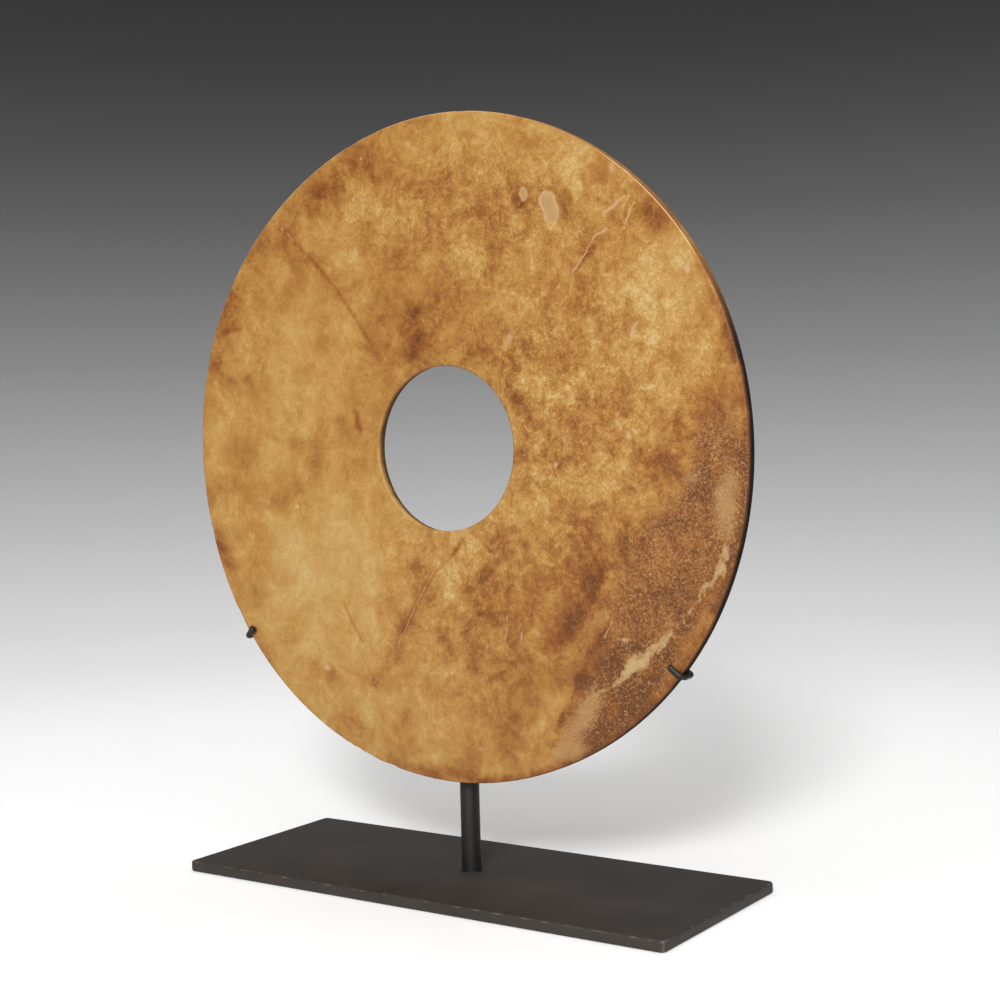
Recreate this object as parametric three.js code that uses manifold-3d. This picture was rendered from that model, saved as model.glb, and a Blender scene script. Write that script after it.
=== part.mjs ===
// A jade bi disc held upright on its display stand: a flat stone ring with a round hole,
// two hooked wires that grip its rim from behind, and a post on a steel foot.
// Millimetres, +Z up. The origin is the middle of the foot's underside, the foot's long
// side runs along X, and the disc's front face looks along -Y.

import * as THREE from "three";
import { mergeVertices } from "three/addons/utils/BufferGeometryUtils.js";
import Module from "manifold-3d";

const wasm = await Module();
wasm.setup();

// Space left between two pieces that touch or rest on each other.
const fitGap = 0.3;

// Stone disc.
const discRadius = 148.2;
const discThickness = 6.2;
const discCentreX = 0.15;
const discCentreZ = 195.8;
const rimRoundingFront = 0.6;
const rimRoundingBack = 1.5;

// The hole was drilled from the back, so it narrows towards the front, and it sits
// slightly off the middle.
const holeRadiusFront = 36.4;
const holeRadiusBack = 37.6;
const holeRounding = 0.6;
const holeShiftX = -1.0;
const holeShiftZ = 0.9;

// The rim was ground by hand: shallow waves, each so many times round the disc.
const rimWaves = [
  { times: 2, rise: 0.1, turn: 75 },
  { times: 3, rise: 0.15, turn: 12 },
  { times: 4, rise: 0.2, turn: -29 },
  { times: 5, rise: 0.16, turn: 12 },
  { times: 6, rise: 0.15, turn: -28 },
];

// Steel foot: a length of flat bar, with a shallow seat drilled for the post.
const footLength = 254;
const footWidth = 100;
const footThickness = 4.8;
const footCornerRadius = 2.5;
const footEdgeRounding = 0.9;
const postSeatDepth = 2.4;

// Post: a tube just behind the foot's middle, into which the cradle's spine slips.
const postY = 0.7;
const postRadius = 4.4;
const postTopZ = 74;
const postBoreDepth = 36;
const postChamfer = 0.5;

// Cradle: a round spine behind the disc and two wire arms that leave it below the hole.
const spineRadius = 2.5;
const spineChamfer = 0.4;
const spineAboveArms = 4;
const armsBelowCentre = 46;
const wireRadius = 1.2;
const hookBendRadius = 2.5;

// How finely each round shape is divided.
const discSides = 120;
const rimFrontSteps = 3;
const rimBackSteps = 4;
const holeEdgeSteps = 2;
const footCornerSteps = 4;
const footEdgeSteps = 3;
const postSides = 32;
const spineSides = 20;
const wireSides = 12;
const bendSteps = 5;

// Two corners of a mesh closer than this are the same corner.
const mergeDistance = 1e-4;

// Depths, worked out from the spine forwards: arms, disc, and the wire in front of it.
const armY = postY - spineRadius - fitGap - wireRadius;
const discBackY = armY - wireRadius - fitGap;
const discFrontY = discBackY - discThickness;
const legY = discFrontY - fitGap - wireRadius;
const armsZ = discCentreZ - armsBelowCentre;

// Each hook crosses the rim at an angle seen from the disc's centre (0 is +X, 90 is up),
// stands a little off the rim, and ends in a short leg on the front face. The leg drops
// below the crossing, then runs inwards and up to its tip.
const rightHook = {
  name: "right_arm",
  side: 1,
  angle: -38.6,
  standOff: 0.4,
  frontDrop: 0.2,
  leg: [
    { inwards: 3.5, up: 2.4 },
    { inwards: 6.3, up: 4.8 },
  ],
};
const leftHook = {
  name: "left_arm",
  side: -1,
  angle: -143.9,
  standOff: 0.3,
  frontDrop: 0.8,
  leg: [{ inwards: 5.1, up: 4.7 }],
};

const stone = new THREE.MeshStandardMaterial({
  color: "#b98849",
  roughness: 0.45,
  metalness: 0,
});
const blackenedSteel = new THREE.MeshStandardMaterial({
  color: "#2b2825",
  roughness: 0.5,
  metalness: 0.6,
});

function namedMesh(name, geometry, material) {
  const mesh = new THREE.Mesh(geometry, material.clone());
  mesh.name = name;
  return mesh;
}

// A closed geometry as a solid, and back.
function toSolid(geometry) {
  const bare = geometry.clone();
  bare.deleteAttribute("normal");
  bare.deleteAttribute("uv");
  const merged = mergeVertices(bare, mergeDistance);
  const mesh = new wasm.Mesh({
    numProp: 3,
    vertProperties: merged.attributes.position.array,
    triVerts: new Uint32Array(merged.index.array),
  });
  return new wasm.Manifold(mesh);
}

function toGeometry(solid) {
  const mesh = solid.getMesh();
  const geometry = new THREE.BufferGeometry();
  const positions = new Float32Array(mesh.vertProperties);
  geometry.setAttribute("position", new THREE.BufferAttribute(positions, 3));
  geometry.setIndex(new THREE.BufferAttribute(new Uint32Array(mesh.triVerts), 1));
  geometry.computeVertexNormals();
  return geometry;
}

// Points of a quarter circle that turns left from its start angle, ends included.
function roundedCorner(centre, radius, fromDegrees, steps) {
  const points = [];
  for (let step = 0; step <= steps; step += 1) {
    const angle = THREE.MathUtils.degToRad(fromDegrees + (90 * step) / steps);
    const x = centre.x + radius * Math.cos(angle);
    const y = centre.y + radius * Math.sin(angle);
    points.push(new THREE.Vector2(x, y));
  }
  return points;
}

// How far the rim stands out from its true circle at an angle seen from the disc's centre.
function rimWave(angle) {
  let rise = 0;
  for (const wave of rimWaves) {
    const turn = THREE.MathUtils.degToRad(wave.turn);
    rise += wave.rise * Math.cos(wave.times * (angle - turn));
  }
  return rise;
}

// The disc's section, as distance from the axis and depth, goes round the whole ring:
// rim, back face, hole wall and front face.
function discSection() {
  const rimFront = { x: discRadius - rimRoundingFront, y: discFrontY + rimRoundingFront };
  const rimBack = { x: discRadius - rimRoundingBack, y: discBackY - rimRoundingBack };
  const holeBack = { x: holeRadiusBack + holeRounding, y: discBackY - holeRounding };
  const holeFront = { x: holeRadiusFront + holeRounding, y: discFrontY + holeRounding };
  const points = [
    ...roundedCorner(rimFront, rimRoundingFront, -90, rimFrontSteps),
    ...roundedCorner(rimBack, rimRoundingBack, 0, rimBackSteps),
    ...roundedCorner(holeBack, holeRounding, 90, holeEdgeSteps),
    ...roundedCorner(holeFront, holeRounding, 180, holeEdgeSteps),
  ];
  points.push(points[0].clone());
  return points;
}

function makeDisc() {
  const geometry = new THREE.LatheGeometry(discSection(), discSides);
  const position = geometry.attributes.position;
  const ringWidth = discRadius - holeRadiusFront;
  for (let index = 0; index < position.count; index += 1) {
    const x = position.getX(index);
    const z = position.getZ(index);
    const distance = Math.hypot(x, z);
    const angle = Math.atan2(z, x);
    // The rim's waves fade out towards the hole, and the hole's shift towards the rim.
    const rimShare = THREE.MathUtils.clamp((distance - holeRadiusFront) / ringWidth, 0, 1);
    const wavyDistance = distance + rimWave(angle) * rimShare;
    const holeShare = 1 - rimShare;
    const wavyX = Math.cos(angle) * wavyDistance + holeShiftX * holeShare;
    const wavyZ = Math.sin(angle) * wavyDistance + holeShiftZ * holeShare;
    position.setX(index, wavyX);
    position.setZ(index, wavyZ);
  }
  geometry.computeVertexNormals();
  const disc = namedMesh("bi_disc", geometry, stone);
  disc.position.set(discCentreX, 0, discCentreZ);
  return disc;
}

function makeFoot() {
  const halfLength = footLength / 2;
  const halfWidth = footWidth / 2;
  const corner = footCornerRadius;
  const outline = new THREE.Shape();
  outline.moveTo(corner - halfLength, -halfWidth);
  outline.absarc(halfLength - corner, corner - halfWidth, corner, -Math.PI / 2, 0);
  outline.absarc(halfLength - corner, halfWidth - corner, corner, 0, Math.PI / 2);
  outline.absarc(corner - halfLength, halfWidth - corner, corner, Math.PI / 2, Math.PI);
  outline.absarc(corner - halfLength, corner - halfWidth, corner, Math.PI, Math.PI * 1.5);
  const bar = new THREE.ExtrudeGeometry(outline, {
    depth: footThickness - 2 * footEdgeRounding,
    bevelThickness: footEdgeRounding,
    bevelSize: footEdgeRounding,
    bevelOffset: -footEdgeRounding,
    bevelSegments: footEdgeSteps,
    curveSegments: footCornerSteps,
  });
  bar.translate(0, 0, footEdgeRounding);
  const seatRadius = postRadius + fitGap;
  const drillLength = 2 * postSeatDepth;
  const drill = new THREE.CylinderGeometry(seatRadius, seatRadius, drillLength, postSides);
  drill.rotateX(Math.PI / 2);
  drill.translate(0, postY, footThickness);
  const drilled = toSolid(bar).subtract(toSolid(drill));
  return namedMesh("base_plate", toGeometry(drilled), blackenedSteel);
}

// A round upright piece from its section, as distance from the axis and height.
function makeUpright(name, section, sides) {
  const points = section.map(([distance, height]) => new THREE.Vector2(distance, height));
  const geometry = new THREE.LatheGeometry(points, sides);
  geometry.rotateX(Math.PI / 2);
  const upright = namedMesh(name, geometry, blackenedSteel);
  upright.position.y = postY;
  return upright;
}

const postFootZ = footThickness - postSeatDepth + fitGap;
const boreFloorZ = postTopZ - postBoreDepth;
const boreRadius = spineRadius + fitGap;

function makePost() {
  const section = [
    [0, postFootZ],
    [postRadius, postFootZ],
    [postRadius, postTopZ - postChamfer],
    [postRadius - postChamfer, postTopZ],
    [boreRadius, postTopZ],
    [boreRadius, boreFloorZ],
    [0, boreFloorZ],
  ];
  return makeUpright("post_tube", section, postSides);
}

function makeSpine() {
  const topZ = armsZ + spineAboveArms;
  const section = [
    [0, boreFloorZ + fitGap],
    [spineRadius, boreFloorZ + fitGap],
    [spineRadius, topZ - spineChamfer],
    [spineRadius - spineChamfer, topZ],
    [0, topZ],
  ];
  return makeUpright("spine_rod", section, spineSides);
}

// A wire's middle line with a round bend at each corner, as a curve whose stations are
// the places where the wire turns. A straight stretch needs none between its ends.
class BentWire extends THREE.Curve {
  constructor(corners, bendRadius, stepsPerBend) {
    super();
    this.stations = [];
    const last = corners.length - 1;
    this.addStation(corners[0], corners[1].clone().sub(corners[0]));
    for (let index = 1; index < last; index += 1) {
      this.addBend(corners[index - 1], corners[index], corners[index + 1], bendRadius, stepsPerBend);
    }
    this.addStation(corners[last], corners[last].clone().sub(corners[last - 1]));
  }

  addStation(place, direction) {
    this.stations.push({ place, direction: direction.clone().normalize() });
  }

  addBend(before, corner, after, bendRadius, steps) {
    const comingIn = corner.clone().sub(before).normalize();
    const goingOut = after.clone().sub(corner).normalize();
    const turn = comingIn.angleTo(goingOut);
    const setBack = bendRadius * Math.tan(turn / 2);
    const start = corner.clone().addScaledVector(comingIn, -setBack);
    const axis = comingIn.clone().cross(goingOut).normalize();
    const toCentre = axis.clone().cross(comingIn).multiplyScalar(bendRadius);
    const centre = start.clone().add(toCentre);
    for (let step = 0; step <= steps; step += 1) {
      const angle = (turn * step) / steps;
      const arm = toCentre.clone().negate().applyAxisAngle(axis, angle);
      this.addStation(centre.clone().add(arm), comingIn.clone().applyAxisAngle(axis, angle));
    }
  }

  stationAt(share) {
    return this.stations[Math.round(share * (this.stations.length - 1))];
  }

  getPointAt(share) {
    return this.stationAt(share).place.clone();
  }

  getTangentAt(share) {
    return this.stationAt(share).direction.clone();
  }
}

function hookCorners(hook) {
  const angle = THREE.MathUtils.degToRad(hook.angle);
  const outwards = discRadius + rimWave(angle) + hook.standOff + wireRadius;
  const crossingX = discCentreX + outwards * Math.cos(angle);
  const crossingZ = discCentreZ + outwards * Math.sin(angle);
  const frontX = crossingX;
  const frontZ = crossingZ - hook.frontDrop;
  // The two arms start side by side in front of the spine, a gap apart.
  const startX = hook.side * (fitGap + wireRadius / 2);
  const corners = [
    new THREE.Vector3(startX, armY, armsZ),
    new THREE.Vector3(crossingX, armY, crossingZ),
    new THREE.Vector3(frontX, legY, frontZ),
  ];
  for (const { inwards, up } of hook.leg) {
    corners.push(new THREE.Vector3(frontX - hook.side * inwards, legY, frontZ + up));
  }
  return corners;
}

function makeArm(hook) {
  const path = new BentWire(hookCorners(hook), hookBendRadius, bendSteps);
  const round = new THREE.Shape();
  round.absarc(0, 0, wireRadius, 0, 2 * Math.PI);
  const geometry = new THREE.ExtrudeGeometry(round, {
    extrudePath: path,
    steps: path.stations.length - 1,
    curveSegments: wireSides,
  });
  return namedMesh(hook.name, geometry, blackenedSteel);
}

const biOnStand = new THREE.Group();
biOnStand.name = "jade_bi_on_stand";
biOnStand.add(makeDisc());
biOnStand.add(makeFoot());
biOnStand.add(makePost());
biOnStand.add(makeSpine());
biOnStand.add(makeArm(rightHook));
biOnStand.add(makeArm(leftHook));

export default biOnStand;
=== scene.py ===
import math
import random

import bpy
import numpy as np
from mathutils import Matrix, Vector, noise


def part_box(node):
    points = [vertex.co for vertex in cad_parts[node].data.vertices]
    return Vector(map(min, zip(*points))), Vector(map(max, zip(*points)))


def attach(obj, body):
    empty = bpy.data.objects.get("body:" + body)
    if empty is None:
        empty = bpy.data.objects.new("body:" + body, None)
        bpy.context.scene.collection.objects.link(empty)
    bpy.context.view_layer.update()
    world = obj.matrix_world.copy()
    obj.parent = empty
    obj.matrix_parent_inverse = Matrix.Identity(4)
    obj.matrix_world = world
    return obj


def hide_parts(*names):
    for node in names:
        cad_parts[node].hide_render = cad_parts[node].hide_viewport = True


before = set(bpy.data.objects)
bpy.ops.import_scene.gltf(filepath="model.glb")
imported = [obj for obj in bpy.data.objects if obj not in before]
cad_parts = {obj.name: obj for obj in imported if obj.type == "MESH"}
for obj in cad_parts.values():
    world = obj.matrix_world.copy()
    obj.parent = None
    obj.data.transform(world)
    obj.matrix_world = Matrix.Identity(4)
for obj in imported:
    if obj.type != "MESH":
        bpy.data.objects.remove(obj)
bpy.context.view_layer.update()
mm = 0.001
print("frame loaded")


# ---- camera

cameraSettings = {
    "place": (0.4531, -0.6341, 0.2117),
    "turn": 34.27,  # degrees, from +Y towards -X
    "dip": 2.85,
    "lean": -1.42,
    "lens": 62.5,
}


def addCamera(settings):
    turn = Matrix.Rotation(math.radians(settings["turn"]), 3, "Z")
    dip = Matrix.Rotation(math.radians(90 - settings["dip"]), 3, "X")
    lean = Matrix.Rotation(math.radians(settings["lean"]), 3, "Z")
    angles = (turn @ dip @ lean).to_euler()
    bpy.ops.object.camera_add(location=settings["place"], rotation=angles)
    camera = bpy.context.object
    camera.name = "camera"
    camera.data.lens = settings["lens"]
    bpy.context.scene.camera = camera


addCamera(cameraSettings)
bpy.context.scene.view_settings.view_transform = "Standard"
print("camera placed")


# ---- modelling helpers

def startPiece():
    # the loaded nodes are selected, and an operator would act on them too
    if bpy.context.mode != "OBJECT":
        bpy.ops.object.mode_set(mode="OBJECT")
    bpy.ops.object.select_all(action="DESELECT")


def settlePiece(piece, name):
    # the place goes into the mesh, and the object stays at the origin
    bpy.ops.object.mode_set(mode="OBJECT")
    bpy.ops.object.transform_apply(location=True, rotation=True, scale=True)
    piece.name = name
    piece.data.name = name


def selectWhere(piece, test):
    bpy.ops.mesh.select_mode(type="VERT")
    bpy.ops.mesh.select_all(action="DESELECT")
    bpy.ops.object.mode_set(mode="OBJECT")
    for vertex in piece.data.vertices:
        vertex.select = bool(test(vertex.co))
    bpy.ops.object.mode_set(mode="EDIT")


def closeUp(mergeDistance=1e-6):
    # joins doubled vertices, then turns every face outwards
    bpy.ops.mesh.select_all(action="SELECT")
    bpy.ops.mesh.remove_doubles(threshold=mergeDistance)
    bpy.ops.mesh.normals_make_consistent(inside=False)


def smoothPiece(angle):
    bpy.ops.object.mode_set(mode="OBJECT")
    bpy.ops.object.shade_smooth_by_angle(angle=math.radians(angle))


def readPlaces(piece):
    places = np.zeros(len(piece.data.vertices) * 3)
    piece.data.vertices.foreach_get("co", places)
    return places.reshape(-1, 3)


def writePlaces(piece, places):
    piece.data.vertices.foreach_set("co", places.ravel())
    piece.data.update()


def keepWithin(piece, low, high):
    # rounding and relief may not carry a piece past its node's box
    writePlaces(piece, np.clip(readPlaces(piece), low, high))


def paintAttribute(piece, name, values):
    attribute = piece.data.attributes.new(name, "FLOAT", "POINT")
    attribute.data.foreach_set("value", values.astype(np.float32))


def displacePiece(piece, weights, strength, direction, texture=None):
    # pushes the surface along one direction, as far as each vertex's weight says
    group = piece.vertex_groups.new(name="relief")
    for index in np.nonzero(weights > 0.001)[0]:
        group.add([int(index)], float(weights[index]), "REPLACE")
    bpy.ops.object.modifier_add(type="DISPLACE")
    modifier = piece.modifiers[-1]
    modifier.strength = strength
    modifier.direction = direction
    modifier.vertex_group = group.name
    modifier.mid_level = 0.5 if texture else 0.0
    modifier.texture = texture
    bpy.ops.object.modifier_apply(modifier=modifier.name)
    piece.vertex_groups.clear()


def cloudTexture(name, size):
    texture = bpy.data.textures.new(name, "CLOUDS")
    texture.noise_scale = size
    texture.noise_depth = 2
    return texture


def smoothStep(value):
    value = np.clip(value, 0, 1)
    return value * value * (3 - 2 * value)


# ---- material helpers

def colour(red, green, blue, exposure=1.0):
    # a screen colour from 0 to 255, as the linear colour that shaders use
    def linear(value):
        share = value / 255
        share = share / 12.92 if share <= 0.04045 else ((share + 0.055) / 1.055) ** 2.4
        return share * exposure
    return (linear(red), linear(green), linear(blue), 1)


def addNode(tree, kind, inputs, **options):
    node = tree.nodes.new(kind)
    for option, value in options.items():
        setattr(node, option, value)
    for socket, value in inputs.items():
        if isinstance(value, bpy.types.NodeSocket):
            tree.links.new(value, node.inputs[socket])
        else:
            node.inputs[socket].default_value = value
    return node


def calculate(tree, operation, first, second=0.0, third=0.0):
    inputs = {0: first, 1: second, 2: third}
    return addNode(tree, "ShaderNodeMath", inputs, operation=operation).outputs[0]


def remap(tree, value, fromLow, fromHigh, toLow=0.0, toHigh=1.0):
    inputs = {
        "Value": value,
        "From Min": fromLow,
        "From Max": fromHigh,
        "To Min": toLow,
        "To Max": toHigh,
    }
    return addNode(tree, "ShaderNodeMapRange", inputs, interpolation_type="SMOOTHSTEP").outputs[0]


def mixColour(tree, share, first, second, blend="MIX"):
    inputs = {0: share, 6: first, 7: second}
    node = addNode(tree, "ShaderNodeMix", inputs, data_type="RGBA", blend_type=blend)
    return node.outputs[2]


def cloudNoise(tree, place, size, detail=2.0, roughness=0.5, distortion=0.0):
    inputs = {
        "Vector": place,
        "Scale": 1 / size,
        "Detail": detail,
        "Roughness": roughness,
        "Distortion": distortion,
    }
    return addNode(tree, "ShaderNodeTexNoise", inputs).outputs["Fac"]


def readAttribute(tree, name):
    return addNode(tree, "ShaderNodeAttribute", {}, attribute_name=name).outputs["Fac"]


def placeFrom(tree, centre, turn=0.0, reach=(mm, mm, mm)):
    # the surface's place from a centre; one unit is the reach along each axis
    inputs = {
        "Vector": addNode(tree, "ShaderNodeTexCoord", {}).outputs["Object"],
        "Location": centre,
        "Rotation": (0, math.radians(-turn), 0),
        "Scale": reach,
    }
    return addNode(tree, "ShaderNodeMapping", inputs, vector_type="TEXTURE").outputs[0]


def newMaterial(name):
    material = bpy.data.materials.new(name)
    material.use_nodes = True
    return material, material.node_tree, material.node_tree.nodes["Principled BSDF"]


def newEffect(name, numbers, results):
    # an empty node group with a Place vector and named numbers in, and named masks out
    effect = bpy.data.node_groups.new(name, "ShaderNodeTree")
    effect.interface.new_socket("Place", in_out="INPUT", socket_type="NodeSocketVector")
    for number, usual in numbers.items():
        socket = effect.interface.new_socket(number, in_out="INPUT", socket_type="NodeSocketFloat")
        socket.default_value = usual
    for result in results:
        effect.interface.new_socket(result, in_out="OUTPUT", socket_type="NodeSocketFloat")
    given = effect.nodes.new("NodeGroupInput")
    asked = effect.nodes.new("NodeGroupOutput")
    return effect, given, asked


def useEffect(tree, effect, place, **numbers):
    node = tree.nodes.new("ShaderNodeGroup")
    node.node_tree = effect
    tree.links.new(place, node.inputs["Place"])
    for number, value in numbers.items():
        node.inputs[number].default_value = value
    return node


def makeMottling():
    # soft clouds of one size, with smaller ones inside them; 0.5 is the middle tone
    effect, given, asked = newEffect("mottling", {"Size": 10.0, "Contrast": 1.0}, ["Tone"])
    scale = calculate(effect, "DIVIDE", 1.0, given.outputs["Size"])
    inputs = {"Vector": given.outputs["Place"], "Scale": scale, "Detail": 3.0, "Roughness": 0.55}
    clouds = addNode(effect, "ShaderNodeTexNoise", inputs).outputs["Fac"]
    offset = calculate(effect, "SUBTRACT", clouds, 0.5)
    tone = calculate(effect, "MULTIPLY_ADD", offset, given.outputs["Contrast"], 0.5)
    effect.links.new(tone, asked.inputs["Tone"])
    return effect


def makeSpecks():
    # scattered specks of one size; a larger Amount lets more of them through
    effect, given, asked = newEffect("specks", {"Size": 1.0, "Amount": 0.4}, ["Specks"])
    scale = calculate(effect, "DIVIDE", 1.0, given.outputs["Size"])
    inputs = {"Vector": given.outputs["Place"], "Scale": scale, "Detail": 1.5, "Roughness": 0.6}
    field = addNode(effect, "ShaderNodeTexNoise", inputs).outputs["Fac"]
    start = calculate(effect, "SUBTRACT", 1.0, given.outputs["Amount"])
    end = calculate(effect, "ADD", start, 0.12)
    specks = remap(effect, field, start, end)
    effect.links.new(specks, asked.inputs["Specks"])
    return effect


mottling = makeMottling()
specks = makeSpecks()


# ---- the stone disc

discLow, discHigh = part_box("bi_disc")

discSettings = {
    "roundSteps": 450,
    "faceRings": 96,
    "backRings": 14,
    "wallRings": 3,
    "holeRadius": 36.4 * mm,
    "holeFlare": 1.2 * mm,  # wider at the back
    "holeShift": (-1.0 * mm, 0.9 * mm),
    "frontRounding": 0.6 * mm,
    "backRounding": 1.5 * mm,
    "holeRounding": 1.3 * mm,
    # the hand-ground rim: times round, rise, turn in degrees
    "rimWaves": [
        (2, 0.1 * mm, 75),
        (3, 0.15 * mm, 12),
        (4, 0.2 * mm, -29),
        (5, 0.16 * mm, 12),
        (6, 0.15 * mm, -28),
    ],
}


def rimWave(angle):
    rise = 0
    for times, height, turn in discSettings["rimWaves"]:
        rise = rise + height * np.cos(times * (angle - math.radians(turn)))
    return rise


quarter = math.pi / 2
discRadius = (discHigh.z - discLow.z - rimWave(quarter) - rimWave(-quarter)) / 2
discCentre = Vector((
    discHigh.x - rimWave(0) - discRadius,
    (discLow.y + discHigh.y) / 2,
    discHigh.z - rimWave(quarter) - discRadius,
))

# Places on the disc are in millimetres from its centre: across, up, half length,
# half width, turn in degrees and strength.
darkClouds = [
    # above the hole
    (-16, 52, 20, 20, 0, 0.34), (-8, 62, 22, 16, 20, 0.16), (-17, 46, 9, 9, 0, 0.12),
    (5, 68, 14, 11, 0, 0.14), (-30, 36, 15, 17, 0, 0.16), (-37, 48, 18, 12, -30, 0.1),
    (-23, 76, 10, 9, 0, 0.14), (-25, 90, 12, 10, 0, 0.12), (-15, 84, 15, 10, 0, 0.09),
    (-35, 63, 14, 12, 0, 0.09), (20, 42, 24, 10, -10, 0.18), (15, 70, 15, 8, 0, 0.09),
    # the stained band inside the upper left rim
    (-62, 122, 40, 19, 33, 0.24), (-43, 130, 34, 13, 18, 0.12), (-70, 115, 26, 12, 20, 0.08),
    (-93, 106, 22, 12, 45, 0.2), (-103, 97, 20, 9, 50, 0.1), (-68, 82, 44, 12, -42, 0.1),
    (-58, 84, 9, 7, 0, 0.1), (-74, 88, 11, 8, -30, 0.1), (-30, 124, 24, 10, 0, 0.1),
    # down the left rim
    (-112, 84, 11, 14, 0, 0.09), (-127, 70, 17, 10, 60, 0.26), (-132, 58, 15, 7, 10, 0.2),
    (-135, 45, 8, 13, 0, 0.24), (-133, 34, 20, 8, 0, 0.18), (-117, 36, 4, 6, 0, 0.1),
    (-142, -22, 5, 14, 0, 0.3), (-136, -47, 22, 9, -65, 0.34), (-131, -58, 15, 9, -60, 0.2),
    (-112, 8, 13, 13, 0, 0.11), (-122, -3, 17, 13, 0, 0.13), (-126, -19, 24, 12, 0, 0.12),
    (-120, -40, 20, 15, 0, 0.09), (-117, -63, 13, 20, 0, 0.15), (-113, -98, 24, 7, -48, 0.1),
    # soft spots in the pale quarter
    (-88, 17, 8, 7, 0, 0.2), (-61, 14, 6, 6, 0, 0.15), (-50, 17, 3, 9, 0, 0.15),
    (-48, 11, 4, 4, 0, 0.14), (-84, 4, 11, 7, 0, 0.11), (-77, -3, 15, 11, -30, 0.15),
    (-90, -24, 20, 11, -5, 0.2), (-86, -16, 6, 10, 0, 0.1), (-97, -22, 8, 7, 0, 0.1),
    (-68, 60, 7, 6, 0, 0.12), (-67, 51, 10, 6, 0, 0.1), (-94, -77, 10, 7, 0, 0.1),
    (-99, -86, 10, 7, 0, 0.15), (-54, -80, 6, 17, 15, 0.1), (-76, -101, 16, 8, -15, 0.15),
    (-68, -104, 8, 6, 0, 0.12), (-80, -100, 4, 4, 0, 0.1), (-73, -115, 4, 4, 0, 0.15),
    (-45, -129, 3, 3, 0, 0.16), (-57, -123, 12, 11, 0, 0.16), (-40, -122, 7, 7, 0, 0.1),
    (-24, -119, 6, 6, 0, 0.13), (-32, -134, 4, 3, 0, 0.12), (-45, -95, 20, 17, 0, 0.1),
    # along the crack and below the hole
    (-18, -54, 12, 14, 0, 0.24), (-27, -42, 14, 10, 0, 0.12), (-28, -90, 14, 10, 30, 0.18),
    (-25, -76, 8, 18, -35, 0.16), (-12, -43, 14, 8, 0, 0.1), (-18, -74, 56, 4, 52, 0.12),
    (20, -66, 18, 17, 0, 0.36), (27, -56, 17, 12, 0, 0.14), (8, -82, 20, 12, 0, 0.15),
    (31, -83, 9, 16, 20, 0.24), (27, -97, 12, 13, 0, 0.24), (38, -36, 9, 7, 0, 0.12),
    (30, -43, 24, 11, -20, 0.1), (35, -125, 17, 14, 0, 0.1), (10, -118, 9, 7, 0, 0.09),
    (-20, -145, 34, 5, -5, 0.22), (12, -146, 38, 5, 0, 0.16), (21, -45, 6, 1.2, -50, 0.2),
    # upper right
    (19, 99, 16, 13, 0, 0.22), (33, 88, 16, 12, 0, 0.2), (26, 76, 10, 9, 0, 0.14),
    (3, 135, 9, 14, 0, 0.1), (4, 118, 11, 20, 0, 0.1), (47, 130, 10, 7, 0, 0.14),
    (42, 110, 11, 12, 0, 0.24), (47, 104, 14, 8, 0, 0.16), (53, 112, 12, 4, 0, 0.18),
    (65, 101, 5, 13, 0, 0.22), (62, 94, 11, 6, 0, 0.14), (75, 90, 14, 10, 0, 0.24),
    (78, 84, 13, 9, 0, 0.16), (108, 97, 20, 11, -40, 0.18), (112, 90, 17, 9, -40, 0.14),
    (103, 88, 12, 11, 0, 0.1), (55, 68, 17, 9, -15, 0.14), (68, 61, 15, 9, -20, 0.15),
    (84, 57, 17, 9, -35, 0.12), (65, 42, 13, 9, 0, 0.16), (50, 44, 17, 12, 0, 0.12),
    (33, 56, 7, 10, 0, 0.18), (42, 47, 10, 10, 0, 0.13), (34, 35, 11, 12, 0, 0.14),
    (36, 25, 6, 14, 20, 0.18), (40, 21, 7, 7, 0, 0.2), (45, 15, 10, 9, 0, 0.2),
    (43, -1, 7, 6, 0, 0.2), (77, 15, 13, 10, 0, 0.12), (57, -7, 12, 8, 0, 0.16),
    (128, 13, 20, 14, 0, 0.18), (120, 3, 16, 10, 0, 0.12), (110, -8, 18, 8, 10, 0.14),
    # the brown lower right
    (76, -53, 30, 9, 50, 0.12), (70, -60, 20, 10, 50, 0.08), (52, -50, 26, 16, 40, 0.12),
    (62, -75, 22, 16, 60, 0.1), (118, -30, 13, 4, 15, 0.14), (98, -38, 20, 8, 45, 0.1),
    (93, -84, 14, 5, 20, 0.1), (84, -92, 18, 6, 50, 0.1), (71, -100, 14, 4, 12, 0.2),
    (89, -104, 17, 12, 45, 0.16), (79, -116, 15, 8, 30, 0.2), (107, -87, 14, 5, 50, 0.14),
    (122, -68, 16, 6, 45, 0.1), (137, -56, 16, 5, 62, 0.1), (113, -66, 11, 9, 0, 0.1),
]
paleClouds = [
    (-80, -52, 80, 66, 0, 0.2), (-95, 28, 70, 46, 0, 0.12), (-140, 2, 16, 34, 0, 0.12),
    (-55, 90, 14, 11, 0, 0.12), (-100, 82, 17, 11, 0, 0.1), (-44, 112, 23, 13, -10, 0.14),
    (-30, 103, 12, 9, 0, 0.12), (-70, 100, 20, 10, 20, 0.1), (108, 66, 40, 28, -20, 0.2),
    (116, 83, 20, 12, -40, 0.1), (84, -20, 18, 13, 0, 0.1), (58, 6, 18, 18, 0, 0.08),
    (-2, -58, 11, 17, 20, 0.2), (3, -38, 17, 6, 0, 0.14), (36, -63, 7, 13, 0, 0.18),
    (50, -110, 12, 18, 0, 0.14), (8, -101, 30, 20, 0, 0.08), (125, 30, 18, 9, 0, 0.12),
    (55, 135, 18, 11, -20, 0.1), (20, 143, 22, 7, 0, 0.09), (45, 80, 20, 14, 0, 0.08),
    (98, 35, 30, 20, 0, 0.08), (45, 57, 14, 9, 0, 0.08), (60, 118, 22, 10, -25, 0.08),
]
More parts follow.
